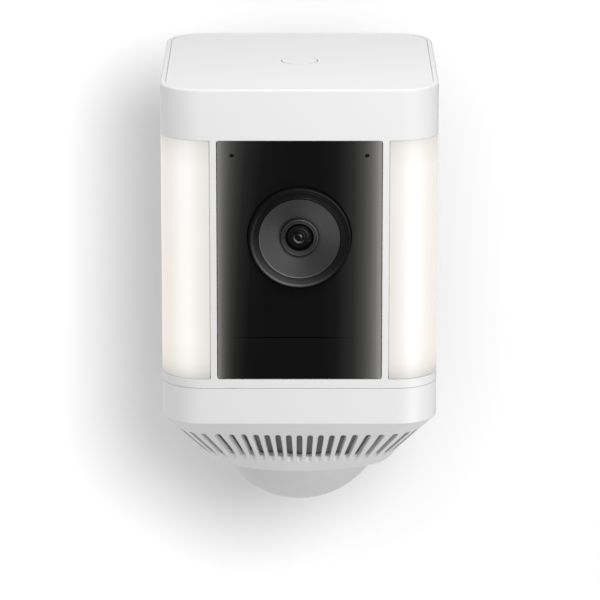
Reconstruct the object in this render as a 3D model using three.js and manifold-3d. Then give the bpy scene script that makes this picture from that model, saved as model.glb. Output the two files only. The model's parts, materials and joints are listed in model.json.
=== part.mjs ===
// A battery spotlight security camera on a ball-joint wall mount.
//
// Millimetres, +Z up. The origin is the centre of the wall plate's back face, the wall is the plane y = 0,
// and the camera looks along -Y. Everything in the camera's case is placed in a group of its own, whose
// y runs from 0 at the front face to BODY.depth at the back, and whose z runs down from 0 at the top face.
import * as THREE from "three";
import { mergeVertices } from "three/addons/utils/BufferGeometryUtils.js";
import Module from "manifold-3d";

const wasm = await Module();
wasm.setup();

// ---------------------------------------------------------------- driving dimensions

const PI = Math.PI;
const GAP = 0.3; // between neighbouring pieces
const SEAM = 0.1; // where two case mouldings are pressed together
const FAR = 150; // a cutter's reach, beyond everything in the case
const BODY = { width: 90, depth: 94, corner: 13.5, seam: -99.5, skirtEnd: -111.5, bottom: -132.9 };
const BODY_FRONT_Y = -149; // where the case's front face stands in the part's frame
const BODY_TOP_Z = 80; // level with this, the ball joint is at z = 0
const WALL = 2.4; // case wall
const RIM = 1.7; // the case wall beside the top panel
const EDGE_ROUND = 0.9; // the top edge's rounding
const SPLIT = 34; // where the front housing meets the rear housing
const WINDOW = { top: -16.8, bottom: -96.5 }; // the front openings' height
const FACE_HALF = 26.8; // half the black face's opening
const LAMP = { inner: 28.9, wrap: 18, corner: 3 }; // the lamp windows, from the front round to the side
const LENS_Z = -48.9;
const LENS_HOLE = 17.05; // the face's hole for the bezel
const FACE_SEAM = -82.4; // the upper black face ends and the infrared window begins
const MIC = { x: 21.8, z: -22, hole: 0.85 };
const BUTTON = { y: 47, radius: 5.9, top: -0.15 };
// The slope runs from the case's outline (share 0) straight towards a circle (share 1), and rounds under.
const FOOT = { radius: 31, straight: 0.77, round: 2.46, end: 1.11 };
const GRILLE_WALL = 1.6;
const SLOTS = { eachSide: 10, step: (4.65 * PI) / 180, width: 1.85, from: 0.2, to: 0.61, draft: 0.24 };
const RAMP = { depth: 1.4, length: 2.7 }; // the ramp that runs out of each slot's lower end
const DOME = { radius: 29.4, z: -121.2, neck: 27.15, flange: 29.2, wall: 1.3 };
const BALL = { radius: 12, y: 101, z: -BODY_TOP_Z, liner: 14.8, seat: 15.1, lip: (65 * PI) / 180 };
const HINGE = { y: 95.2, z: -6.2, barrel: 2, pin: 0.9, knuckle: 17.3, lugX: 23, lug: 5 };
const DOOR = { half: 31, top: -8.8, bottom: -56.6, thick: 2, corner: 3 };
const POSTS = [-28, 28].flatMap((x) => [-70, -92].map((z) => [x, z])); // the case screws' places
const MID = BODY.depth / 2;
const UP = new THREE.Vector3(0, 1, 0); // the axis that a cylinder is made about

// ---------------------------------------------------------------- materials

const finish = (color, roughness, metalness = 0, more = {}) =>
  new THREE.MeshStandardMaterial({ color, roughness, metalness, ...more });
const M = {
  white: finish(0xe9e9e8, 0.45),
  black: finish(0x0d0d0e, 0.2),
  dark: finish(0x2b2c2e, 0.5),
  dish: finish(0x3b3c3e, 0.45),
  lamp: finish(0xfdf8ee, 0.4, 0, { emissive: 0xfff2dc, emissiveIntensity: 0.6 }),
  glass: finish(0x10131a, 0.05),
  dome: finish(0xdcdcdb, 0.5),
  mesh: finish(0x55585a, 0.8),
  rubber: finish(0x1c1c1d, 0.8),
  board: finish(0x1f5a3a, 0.5),
  metal: finish(0xb9bcc0, 0.35, 0.9),
  cell: finish(0x242629, 0.5),
  latch: finish(0xd9772b, 0.5),
};

// ---------------------------------------------------------------- solids

// A closed geometry as a manifold solid with its faces pointing out.
function solid(geometry) {
  const flat = geometry.index ? geometry.toNonIndexed() : geometry;
  const bare = new THREE.BufferGeometry().setAttribute("position", flat.getAttribute("position"));
  const merged = mergeVertices(bare, 1e-4);
  const kept = [];
  const at = merged.index.array;
  for (let i = 0; i < at.length; i += 3) {
    const [a, b, c] = [at[i], at[i + 1], at[i + 2]];
    if (a !== b && b !== c && c !== a) kept.push(a, b, c);
  }
  const build = (triangles) =>
    new wasm.Manifold(
      new wasm.Mesh({
        numProp: 3,
        vertProperties: merged.attributes.position.array,
        triVerts: new Uint32Array(triangles),
      }),
    );
  const made = build(kept);
  if (made.volume() > 0) return made;
  for (let i = 0; i < kept.length; i += 3) [kept[i + 1], kept[i + 2]] = [kept[i + 2], kept[i + 1]];
  return build(kept);
}

function geometryOf(made) {
  const mesh = made.getMesh();
  const positions = new Float32Array(mesh.numVert * 3);
  for (let i = 0; i < mesh.numVert; i++) {
    positions.set(mesh.vertProperties.subarray(i * mesh.numProp, i * mesh.numProp + 3), i * 3);
  }
  return new THREE.BufferGeometry()
    .setAttribute("position", new THREE.BufferAttribute(positions, 3))
    .setIndex(new THREE.BufferAttribute(mesh.triVerts, 1));
}

const cut = (base, ...tools) => tools.reduce((made, tool) => made.subtract(tool), base);
const join = (base, ...more) => more.reduce((made, piece) => made.add(piece), base);

// A box between two corners.
const block = ([x0, y0, z0], [x1, y1, z1]) =>
  solid(
    new THREE.BoxGeometry(x1 - x0, y1 - y0, z1 - z0).translate((x0 + x1) / 2, (y0 + y1) / 2, (z0 + z1) / 2),
  );

// A cylinder along X, Y or Z from one place on that axis to another, around a centre in the other two.
function rod(axis, radius, from, to, [a, b], sides = 20) {
  const made = new THREE.CylinderGeometry(radius, radius, to - from, sides);
  const middle = (from + to) / 2;
  if (axis === "x") made.rotateZ(PI / 2).translate(middle, a, b);
  if (axis === "y") made.translate(a, middle, b);
  if (axis === "z") made.rotateX(PI / 2).translate(a, b, middle);
  return solid(made);
}

// A profile of [radius, height] points turned about Y, closed where it doesn't end on the axis.
function lathe(profile, sides) {
  const points = profile.map(([r, h]) => new THREE.Vector2(r, h));
  if (profile[0][0] > 0 || profile[profile.length - 1][0] > 0) points.push(points[0].clone());
  return new THREE.LatheGeometry(points, sides);
}

// A profile of [radius, height] points turned about Y, or about Z, around a centre in the other two axes.
function turned(axis, profile, [a, b], sides = 36) {
  const made = lathe(profile, sides);
  if (axis === "y") made.translate(a, 0, b);
  else made.rotateX(PI / 2).translate(a, b, 0);
  return solid(made);
}

// [radius, height] points of an arc; angles are measured from the axis of turning, in radians.
function arc(radius, centre, from, to, steps) {
  return Array.from({ length: steps + 1 }, (_, i) => {
    const angle = from + ((to - from) * i) / steps;
    return [radius * Math.sin(angle), centre + radius * Math.cos(angle)];
  });
}

// A flat outline of THREE.Vector2 points, extruded along Z.
const prism = (outline, z0, z1) =>
  solid(
    new THREE.ExtrudeGeometry(new THREE.Shape(outline), { depth: z1 - z0, bevelEnabled: false }).translate(
      0,
      0,
      z0,
    ),
  );

// The same, with the outline given in X and Z and extruded along Y.
const frontPrism = (outline, y0, y1) =>
  solid(
    new THREE.ExtrudeGeometry(new THREE.Shape(outline), { depth: y1 - y0, bevelEnabled: false })
      .rotateX(PI / 2)
      .translate(0, y1, 0),
  );

// A rectangle with rounded corners, counter-clockwise, its straight sides divided so that it can be lofted.
function roundedRectangle(x0, x1, y0, y1, radius, cornerSteps = 8, sideSteps = 1) {
  const r = Math.max(radius, 0.01);
  const corners = [
    [x1 - r, y0 + r, -PI / 2],
    [x1 - r, y1 - r, 0],
    [x0 + r, y1 - r, PI / 2],
    [x0 + r, y0 + r, PI],
  ];
  const points = corners.flatMap(([x, y, start]) =>
    Array.from({ length: cornerSteps + 1 }, (_, i) => {
      const angle = start + (PI / 2) * (i / cornerSteps);
      return new THREE.Vector2(x + r * Math.cos(angle), y + r * Math.sin(angle));
    }),
  );
  const divided = [];
  points.forEach((p, i) => {
    divided.push(p);
    const isCornerEnd = i % (cornerSteps + 1) === cornerSteps;
    const next = points[(i + 1) % points.length];
    for (let k = 1; isCornerEnd && k < sideSteps; k++) divided.push(p.clone().lerp(next, k / sideSteps));
  });
  return divided;
}

// The case's outline in plan, moved inwards.
const caseOutline = (inset = 0, sideSteps = 1, cornerSteps = 8) =>
  roundedRectangle(
    -BODY.width / 2 + inset,
    BODY.width / 2 - inset,
    inset,
    BODY.depth - inset,
    BODY.corner - inset,
    cornerSteps,
    sideSteps,
  );

// A strip whose plan is given for the right side, extruded from bottom to top.
function uprightStrip(side, plan, bottom, top) {
  const outline = plan.map(([x, y]) => new THREE.Vector2(side * x, y));
  return prism(side > 0 ? outline : outline.reverse(), bottom, top);
}

// A closed skin over outlines of equally many points, from the lowest z to the highest.
function loft(sections) {
  const count = sections[0].points.length;
  const positions = [];
  const triangles = [];
  sections.forEach(({ points, z }) => points.forEach((p) => positions.push(p.x, p.y, z)));
  for (let s = 0; s + 1 < sections.length; s++) {
    for (let i = 0; i < count; i++) {
      const [a, b] = [s * count + i, s * count + ((i + 1) % count)];
      triangles.push(a, b, b + count, a, b + count, a + count);
    }
  }
  const top = (sections.length - 1) * count;
  THREE.ShapeUtils.triangulateShape(sections[0].points, []).forEach(([a, b, c]) => triangles.push(a, c, b));
  THREE.ShapeUtils.triangulateShape(sections[sections.length - 1].points, []).forEach(([a, b, c]) =>
    triangles.push(top + a, top + b, top + c),
  );
  const made = new THREE.BufferGeometry();
  made.setAttribute("position", new THREE.Float32BufferAttribute(positions, 3));
  made.setIndex(triangles);
  return solid(made);
}

const camera = new THREE.Group();
camera.position.set(0, BODY_FRONT_Y, BODY_TOP_Z);
const mount = new THREE.Group();
const model = new THREE.Group();
model.add(camera, mount);

function add(group, name, made, material) {
  const mesh = new THREE.Mesh(geometryOf(made), material);
  mesh.name = name;
  group.add(mesh);
}

// ---------------------------------------------------------------- case

// The case's upright wall with its rounded top edge, before it is split and opened.
function sleeve() {
  const steps = 3;
  const top = Array.from({ length: steps + 1 }, (_, i) => {
    const angle = (PI / 2) * (i / steps);
    return { points: caseOutline(EDGE_ROUND * (1 - Math.cos(angle))), z: EDGE_ROUND * (Math.sin(angle) - 1) };
  });
  const outside = loft([{ points: caseOutline(), z: BODY.seam + SEAM / 2 }, ...top]);
  const inside = prism(caseOutline(WALL), -FAR, FAR);
  const seat = prism(caseOutline(RIM), -3, 1);
  return cut(outside, inside, seat);
}

// The ledge's plan: from inside the pillar between face and lamp to behind the diffuser's edge.
const LEDGE = [
  [27.3, WALL - 0.4],
  [LAMP.inner, WALL - 0.4],
  [LAMP.inner, WALL + GAP],
  [LAMP.inner + 0.9, WALL + GAP],
  [LAMP.inner + 0.9, WALL + 1.1],
  [27.3, WALL + 1.1],
];

// The lamp window's cutter on one side, optionally smaller all round.
function lampWindow(side, less = 0) {
  const edge = roundedRectangle(
    -5,
    LAMP.wrap - less,
    WINDOW.bottom + less,
    WINDOW.top - less,
    LAMP.corner,
    6,
  );
  const shape = edge.map((p) => new THREE.Vector2(p.y, p.x));
  const made = new THREE.ExtrudeGeometry(new THREE.Shape(shape.reverse()), {
    depth: 20 - less,
    bevelEnabled: false,
  });
  // Shape x runs up and shape y runs back; the extrusion runs sideways, out from the window's inner edge.
  const basis = new THREE.Matrix4().makeBasis(
    new THREE.Vector3(0, 0, 1),
    new THREE.Vector3(0, 1, 0),
    new THREE.Vector3(side, 0, 0),
  );
  made.applyMatrix4(basis).translate(side * (LAMP.inner + less), 0, 0);
  return solid(made);
}

// The front of the case, with a ledge behind each lamp diffuser's inner edge.
function frontHousing() {
  const front = block([-FAR, -FAR, -FAR], [FAR, SPLIT - SEAM / 2, FAR]);
  const face = frontPrism(
    roundedRectangle(-FACE_HALF, FACE_HALF, WINDOW.bottom, WINDOW.top, 0.8, 4),
    -5,
    WALL + 2,
  );
  const ledges = [-1, 1].map((side) => uprightStrip(side, LEDGE, WINDOW.bottom + 0.1, WINDOW.top - 0.1));
  return join(cut(sleeve().intersect(front), face, lampWindow(-1), lampWindow(1)), ...ledges);
}

const hingeAxis = [HINGE.y, HINGE.z];
const hingeHole = () => rod("x", HINGE.pin + GAP, -FAR, FAR, hingeAxis, 10);

// The battery door's outline, larger all round by a margin, extruded along Y.
const doorPrism = (margin, y0, y1) =>
  frontPrism(
    roundedRectangle(
      -DOOR.half - margin,
      DOOR.half + margin,
      DOOR.bottom - margin,
      DOOR.top + margin,
      DOOR.corner,
      6,
    ),
    y0,
    y1,
  );

function rearHousing() {
  const back = block([-FAR, SPLIT + SEAM / 2, -FAR], [FAR, FAR, FAR]);
  const doorway = doorPrism(0.4, BODY.depth - WALL - 2, BODY.depth + 2);
  const socket = rod("y", 18.9, 80, 110, [0, BALL.z], 36);
  const screwHoles = POSTS.flatMap(([x, z]) => [
    rod("y", 1.7, 90, 110, [x, z], 12),
    rod("y", 3.1, BODY.depth - 1.4, 110, [x, z], 16),
  ]);
  const shell = cut(sleeve().intersect(back), doorway, socket, ...screwHoles);
  // Two hinge lugs stand on the back above the doorway, with a shallow hollow under the door's knuckle.
  const lug = (x) =>
    join(
      rod("x", HINGE.barrel, x - HINGE.lug, x + HINGE.lug, hingeAxis, 14),
      block([x - HINGE.lug, BODY.depth - 1, HINGE.z - 1.6], [x + HINGE.lug, HINGE.y, HINGE.z + 1.6]),
    );
  const hollowHalf = HINGE.knuckle + GAP;
  const knuckleHollow = rod("x", HINGE.barrel + GAP, -hollowHalf, hollowHalf, hingeAxis, 14);
  return cut(join(cut(shell, knuckleHollow), lug(-HINGE.lugX), lug(HINGE.lugX)), hingeHole());
}

// The outline part of the way from the case's own outline (0) to the circle at the foot (1).
function slopeOutline(share, inset) {
  const [sideSteps, cornerSteps] = inset ? [4, 4] : [10, 8];
  return caseOutline(inset, sideSteps, cornerSteps).map((p) => {
    const angle = Math.atan2(p.y - MID, p.x);
    const radius = FOOT.radius - inset;
    const low = new THREE.Vector2(radius * Math.cos(angle), MID + radius * Math.sin(angle));
    return p.clone().lerp(low, share);
  });
}

// The skirt and slope from outside, with the foot rounded under in a quarter of an ellipse.
function slopeOutside() {
  const steps = 4;
  const foot = Array.from({ length: steps + 1 }, (_, i) => {
    const angle = (PI / 2) * (1 - i / steps);
    return {
      points: slopeOutline(FOOT.straight + (FOOT.end - FOOT.straight) * (1 - Math.cos(angle)), 0),
      z: BODY.bottom + FOOT.round * (1 - Math.sin(angle)),
    };
  });
  return loft([
    ...foot,
    { points: slopeOutline(0, 0), z: BODY.skirtEnd },
    { points: slopeOutline(0, 0), z: BODY.seam - SEAM / 2 },
  ]);
}

// The same slope moved inwards, straight down to a flat floor.
function slopeInside(inset, top) {
  return loft([
    { points: slopeOutline(FOOT.straight + 0.11, inset), z: BODY.bottom + inset },
    { points: slopeOutline(0, inset), z: BODY.skirtEnd + inset * 0.3 },
    { points: slopeOutline(0, inset), z: top },
  ]);
}

// One slot of the grille: a round-ended bar square to the slope, in the upright plane at this angle, which
// widens inwards, and a rod that slants out of its lower end, so that the slot runs out in a ramp.
function slotCutter(angle, depth) {
  const turn = -PI / 2 + angle;
  const outer = caseRadius(turn);
  const fall = (BODY.bottom + FOOT.round - BODY.skirtEnd) / FOOT.straight;
  const point = (share) => {
    const radius = outer + (FOOT.radius - outer) * share;
    return new THREE.Vector3(
      radius * Math.cos(turn),
      MID + radius * Math.sin(turn),
      BODY.skirtEnd + fall * share,
    );
  };
  const [high, low] = [point(SLOTS.from), point(SLOTS.to)];
  const down = low.clone().sub(high);
  const half = down.length() / 2;
  const round = SLOTS.width / 2;
  down.normalize();
  const across = new THREE.Vector3(-Math.sin(turn), Math.cos(turn), 0);
  const outwards = new THREE.Vector3().crossVectors(down, across);
  if (outwards.z > 0) outwards.negate();
  const outline = (wider) => roundedRectangle(-half, half, -round - wider, round + wider, round, 3);
  const bar = loft([
    { points: outline(SLOTS.draft * depth), z: -depth },
    { points: outline(0), z: 0 },
    { points: outline(0), z: 2 },
  ]);
  const sideways = new THREE.Vector3().crossVectors(outwards, down);
  const middle = high.clone().add(low).multiplyScalar(0.5);
  const placed = new THREE.Matrix4().makeBasis(down, sideways, outwards).setPosition(middle);
  const end = low.clone().addScaledVector(down, -round);
  const rampStart = end.clone().addScaledVector(outwards, round - RAMP.depth);
  const rampEnd = end.clone().addScaledVector(down, RAMP.length).addScaledVector(outwards, round);
  return join(bar.transform(placed.elements), slantingRod(round - 0.01, rampStart, rampEnd));
}

// A rod from one place to another.
function slantingRod(radius, from, to) {
  const along = to.clone().sub(from);
  const made = new THREE.CylinderGeometry(radius, radius, along.length(), 12);
  made.applyQuaternion(new THREE.Quaternion().setFromUnitVectors(UP, along.clone().normalize()));
  return solid(made.translate(...from.clone().add(to).multiplyScalar(0.5)));
}

// How far the case's outline is from its middle line in one direction.
function caseRadius(angle) {
  const outline = caseOutline(0, 1);
  const direction = new THREE.Vector2(Math.cos(angle), Math.sin(angle));
  for (let i = 0; i < outline.length; i++) {
    const a = outline[i].clone().sub(new THREE.Vector2(0, MID));
    const b = outline[(i + 1) % outline.length].clone().sub(new THREE.Vector2(0, MID));
    const [ca, cb] = [direction.cross(a), direction.cross(b)];
    if (ca <= 0 && cb > 0) {
      const hit = a.lerp(b, -ca / (cb - ca));
      if (hit.dot(direction) > 0) return hit.length();
    }
  }
  throw new Error("the outline has a gap");
}

function bottomHousing() {
  const inside = slopeInside(GRILLE_WALL, BODY.seam + 2);
  const domeHole = rod("z", DOME.neck + GAP, -140, -110, [0, MID], 36);
  const slots = [];
  for (let k = -SLOTS.eachSide; k <= SLOTS.eachSide; k++) slots.push(slotCutter(k * SLOTS.step, GRILLE_WALL + 1));
  return cut(slopeOutside(), inside, domeHole, ...slots);
}

// Dark acoustic cloth against the inside of the grille's front.
function grilleCloth() {
  const outside = slopeInside(GRILLE_WALL + GAP, -112.6);
  const inside = slopeInside(GRILLE_WALL + GAP + 0.8, -111);
  const aboveFoot = block([-FAR, -FAR, -126], [FAR, 36, -112.7]);
  return cut(outside, inside).intersect(aboveFoot);
}

function topPanel() {
  const plate = prism(caseOutline(RIM + SEAM), -2.7, -0.2);
  return cut(plate, rod("z", BUTTON.radius + GAP, -5, 5, [0, BUTTON.y], 32));
}

function setupButton() {
  const cap = rod("z", BUTTON.radius, -3.2, BUTTON.top, [0, BUTTON.y], 32);
  const flange = rod("z", BUTTON.radius + 1.3, -4.2, -3.1, [0, BUTTON.y], 32);
  return join(cap, flange);
}

function facePanel() {
  const outline = roundedRectangle(
    -FACE_HALF + GAP,
    FACE_HALF - GAP,
    FACE_SEAM + 0.15,
    WINDOW.top - GAP,
    0.7,
    4,
  );
  const holes = [-1, 1].map((side) => rod("y", MIC.hole, -5, 5, [side * MIC.x, MIC.z], 10));
  return cut(frontPrism(outline, 0.5, 2.5), rod("y", LENS_HOLE, -5, 5, [0, LENS_Z], 40), ...holes);
}

const infraredWindow = () =>
  block([-FACE_HALF + GAP, 0.5, WINDOW.bottom + GAP], [FACE_HALF - GAP, 2.5, FACE_SEAM - 0.15]);

const lampDiffuser = (side) =>
  cut(prism(caseOutline(), -110, -5), prism(caseOutline(WALL), -112, -3)).intersect(lampWindow(side, GAP));

add(camera, "front_housing", frontHousing(), M.white);
add(camera, "rear_housing", rearHousing(), M.white);
add(camera, "bottom_housing", bottomHousing(), M.white);
add(camera, "grille_cloth", grilleCloth(), M.mesh);
add(camera, "top_panel", topPanel(), M.white);
add(camera, "setup_button", setupButton(), M.white);
add(camera, "face_panel", facePanel(), M.black);
add(camera, "infrared_window", infraredWindow(), M.black);
add(camera, "lamp_diffuser_left", lampDiffuser(-1), M.lamp);
add(camera, "lamp_diffuser_right", lampDiffuser(1), M.lamp);

// ---------------------------------------------------------------- battery bay and door

const BAY = { half: 30.5, top: -9.6, bottom: -49.8, front: BODY.depth - 30.5, back: BODY.depth - 3.6 };
const PACK = { half: 28, top: -11.4, bottom: -48.4, front: BAY.front + 2, back: BAY.back - 1.2 };
const DOOR_SCREW_Z = -52.4;

function batteryBay() {
  const box = block([-BAY.half, BAY.front, BAY.bottom], [BAY.half, BAY.back, BAY.top]);
  const room = block(
    [-PACK.half - 0.6, PACK.front - 0.6, PACK.bottom - 0.4],
    [PACK.half + 0.6, 120, PACK.top + 0.4],
  );
  const flange = frontPrism(roundedRectangle(-33, 33, -60, -5.5, 3, 4), BAY.back - 1.6, BAY.back);
  const nut = rod("y", 3.6, BAY.back - 6, BAY.back, [0, DOOR_SCREW_Z], 14);
  const bore = rod("y", 2.2, 80, 100, [0, DOOR_SCREW_Z], 12);
  return cut(join(box, flange, nut), room, bore);
}

function batteryPack() {
  const shell = frontPrism(
    roundedRectangle(-PACK.half, PACK.half, PACK.bottom, PACK.top, 3, 6),
    PACK.front,
    PACK.back,
  );
  const latchHollow = block([-8.4, PACK.back - 4.2, PACK.top - 7], [8.4, 120, PACK.top + 1]);
  const contacts = block([-14, PACK.front - 1, -34], [14, PACK.front + 0.8, -30]);
  return cut(shell, latchHollow, contacts);
}

// A springy tab on the pack's back that lets it out of the bay, turning about its lower edge.
function batteryLatch() {
  const tab = block([-8, PACK.back - 2.2, PACK.top - 6.6], [8, PACK.back - 0.8, PACK.top - 0.4]);
  const foot = rod("x", 0.9, -8, 8, [PACK.back - 1.5, PACK.top - 5.8], 10);
  return join(tab, foot);
}

function batteryDoor() {
  const plate = doorPrism(0, BODY.depth - DOOR.thick, BODY.depth);
  const [half, strapBack] = [HINGE.knuckle, HINGE.y + 0.6];
  const knuckle = rod("x", HINGE.barrel, -half, half, hingeAxis, 14);
  const strapFoot = block([-half, BODY.depth - 1, DOOR.top - 3], [half, strapBack, DOOR.top + 0.1]);
  const strap = block([-half, BODY.depth + GAP, DOOR.top], [half, strapBack, HINGE.z]);
  const headSeat = rod("y", 3.5, BODY.depth - 0.9, 110, [0, DOOR_SCREW_Z], 20);
  const shankHole = rod("y", 1.9, 80, 110, [0, DOOR_SCREW_Z], 12);
  const grip = block([12, BODY.depth - 0.8, DOOR.bottom + 2], [24, 110, DOOR.bottom + 4.5]);
  return cut(join(plate, knuckle, strapFoot, strap), hingeHole(), headSeat, shankHole, grip);
}

// A captive security screw with a six-lobed socket.
function doorScrew() {
  const head = rod("y", 3.1, BODY.depth - 0.6, BODY.depth + 0.6, [0, DOOR_SCREW_Z], 20);
  const shank = rod("y", 1.5, BODY.depth - 5.2, BODY.depth, [0, DOOR_SCREW_Z], 12);
  const sockets = [0, 1, 2].map((i) => {
    const bar = new THREE.BoxGeometry(3.6, 1.4, 0.8).rotateY((i * PI) / 3);
    return solid(bar.translate(0, BODY.depth + 0.6, DOOR_SCREW_Z));
  });
  return cut(join(head, shank), ...sockets);
}

function doorSeal() {
  const outer = roundedRectangle(-29.5, 29.5, -55.9, -9.9, 2.5, 4);
  const inner = roundedRectangle(-28.3, 28.3, -54.7, -11.1, 1.5, 4);
  const [from, to] = [BAY.back + GAP, BODY.depth - DOOR.thick - GAP];
  return cut(frontPrism(outer, from, to), frontPrism(inner, from - 1, to + 1));
}

add(camera, "battery_bay", batteryBay(), M.dark);
add(camera, "battery_pack", batteryPack(), M.cell);
add(camera, "battery_latch", batteryLatch(), M.latch);
add(camera, "battery_door", batteryDoor(), M.white);
add(camera, "door_screw", doorScrew(), M.metal);
add(camera, "door_seal", doorSeal(), M.rubber);
const PIN_HALF = HINGE.lugX + HINGE.lug - 0.5;
add(camera, "hinge_pin", rod("x", HINGE.pin, -PIN_HALF, PIN_HALF, hingeAxis, 10), M.metal);

// ---------------------------------------------------------------- chassis and electronics

const CHASSIS_Y = 52;

function chassis() {
  const plate = block([-40, CHASSIS_Y, -96.5], [40, CHASSIS_Y + 2, -9.2]);
  const posts = POSTS.map(([x, z]) => rod("y", 3.2, CHASSIS_Y + 1, BODY.depth - WALL - GAP, [x, z], 12));
  const threads = POSTS.map(([x, z]) => rod("y", 1.6, 80, 110, [x, z], 10));
  const lightening = [-22, 22].map((x) => rod("y", 8, 40, 60, [x, -28], 14));
  return cut(join(plate, ...posts), ...threads, ...lightening);
}

function caseScrew([x, z]) {
  const head = rod("y", 2.8, BODY.depth - 1.1, BODY.depth - 0.2, [x, z], 16);
  const shank = rod("y", 1.3, BODY.depth - 13, BODY.depth - 1, [x, z], 10);
  const bars = [0, 1].map((i) => {
    const bar = new THREE.BoxGeometry(3.2, 1.4, 0.7).rotateY((i * PI) / 2);
    return solid(bar.translate(x, BODY.depth - 0.2, z));
  });
  return cut(join(head, shank), ...bars);
}

function mainBoard() {
  const board = block([-24, 57, -95], [24, 58.6, -9]);
  const chips = [
    [-20, -10, -90, -80],
    [6, 22, -40, -28],
    [-8, 4, -80, -72],
  ].map(([x0, x1, z0, z1]) => block([x0, 58.5, z0], [x1, 60, z1]));
  const plug = block([-6, 58.5, -68], [6, 62, -60]);
  return join(board, ...chips, plug);
}

add(camera, "chassis", chassis(), M.metal);
POSTS.forEach((post, i) => add(camera, `case_screw_${i + 1}`, caseScrew(post), M.metal));
add(camera, "main_board", mainBoard(), M.board);
add(camera, "radio_shield", block([-23, 58.9, -62], [-8, 61.4, -40]), M.metal);

// The switch under the button stands on its own small board.
function buttonBoard() {
  const board = block([-10, BUTTON.y - 8, -8.2], [10, BUTTON.y + 8, -7]);
  const body = block([-3, BUTTON.y - 3, -7.1], [3, BUTTON.y + 3, -5.9]);
  const plunger = rod("z", 1.6, -6, -5.3, [0, BUTTON.y], 12);
  return join(board, body, plunger);
}
add(camera, "button_board", buttonBoard(), M.board);
add(camera, "radio_aerial", block([-18, 14, -5.6], [18, 22, -4.8]), M.board);

// ---------------------------------------------------------------- camera module

const onLens = [0, LENS_Z];

// A raised ring round the lens: it lies behind the face, rises to a crest and falls to the dish's rim.
function lensBezel() {
  const profile = [
    [13.5, 4.6],
    [19.4, 4.6],
    [19.4, 2.8],
    [LENS_HOLE - GAP, 2.8],
    [LENS_HOLE - GAP, -0.1],
    [16.55, -1],
    [16.15, -1.7],
    [15.7, -2.05],
    [15.35, -2.05],
    [13.8, -1.7],
    [13.5, -1.5],
  ];
  return turned("y", profile, onLens, 44);
}

// The shallow cone between the bezel and the lens.
function lensDish() {
  const profile = [
    [6.6, 2.2],
    [6.6, 0.9],
    [13.2, -1.7],
    [13.2, -0.4],
  ];
  return turned("y", profile, onLens, 44);
}

function lensBarrel() {
  const profile = [
    [4.7, 0],
    [6, 0],
    [6.3, 0.4],
    [6.3, 6],
    [7.6, 6],
    [7.6, 19],
    [3.4, 19],
    [3.4, 5.4],
    [4.7, 5.4],
  ];
  return turned("y", profile, onLens, 32);
}

// The front element bulges forward in the barrel's mouth.
function lensGlass() {
  const bulge = arc(8, 8.9, PI, PI - Math.asin(4.4 / 8), 3);
  return turned("y", [[0, 4.4], [4.4, 4.4], ...bulge.reverse()], onLens, 26);
}

function lensHolder() {
  const box = block([-14, 8, LENS_Z - 14], [14, 18, LENS_Z + 14]);
  const flange = block([-20, 16, LENS_Z - 5], [20, 18, LENS_Z + 5]);
  return cut(join(box, flange), rod("y", 7.9, 0, 30, onLens, 26));
}

const FILTER_TRAVEL = 5;

function filterHousing() {
  const box = block([-12, 19.4, LENS_Z - 7], [12, 25.4, LENS_Z + 7]);
  const room = block([-11, 21.4, LENS_Z - 5], [11, 23.6, LENS_Z + 5]);
  const light = rod("y", 3.2, 0, 40, onLens, 20);
  const coilSide = block([6, 21.4, LENS_Z - 6], [16, 23.6, LENS_Z + 4]);
  return cut(box, room, light, coilSide);
}

const filterBlade = () => block([-9.5, 22, LENS_Z - 4.6], [9.5 - FILTER_TRAVEL, 23, LENS_Z + 4.6]);

add(camera, "lens_bezel", lensBezel(), M.black);
add(camera, "lens_dish", lensDish(), M.dish);
add(camera, "lens_barrel", lensBarrel(), M.dark);
add(camera, "lens_glass", lensGlass(), M.glass);
add(camera, "lens_holder", lensHolder(), M.dark);
add(camera, "filter_housing", filterHousing(), M.dark);
add(camera, "infrared_filter", filterBlade(), M.glass);
add(
  camera,
  "image_sensor",
  block([-5, 26, LENS_Z - 4], [5, 27.4, LENS_Z + 4]),
  M.dark,
);
add(
  camera,
  "sensor_board",
  block([-15, 27.7, LENS_Z - 13], [15, 29, LENS_Z + 13]),
  M.board,
);
[-1, 1].forEach((side) => {
  const name = side < 0 ? "microphone_left" : "microphone_right";
  add(camera, name, rod("y", 2.2, 2.8, 5.2, [side * MIC.x, MIC.z], 14), M.dark);
});

function infraredBoard() {
  const board = block([-22, 9, -94], [22, 10.4, -83.5]);
  const lamps = [-14, 14].map((x) => rod("y", 2.5, 4.6, 9.1, [x, -88.8], 12));
  return join(board, ...lamps);
}
add(camera, "infrared_lamps", infraredBoard(), M.board);

// ---------------------------------------------------------------- lamps

// A white trough behind the diffuser, with the lamps' board on its slanting floor.
function lampReflector(side) {
  const plan = [
    [29.2, 3.9],
    [30.5, 3.9],
    [31.5, 9.8],
    [37.7, 16.6],
    [41.8, 17.8],
    [41.8, 19],
    [37, 17.9],
    [30.3, 10.5],
  ];
  return uprightStrip(side, plan, WINDOW.bottom + 1, WINDOW.top - 1);
}

const LAMP_BOARD = { x: 35.2, y: 12.7, turn: (47.6 * PI) / 180, width: 7, height: 74, lamps: 8 };

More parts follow.
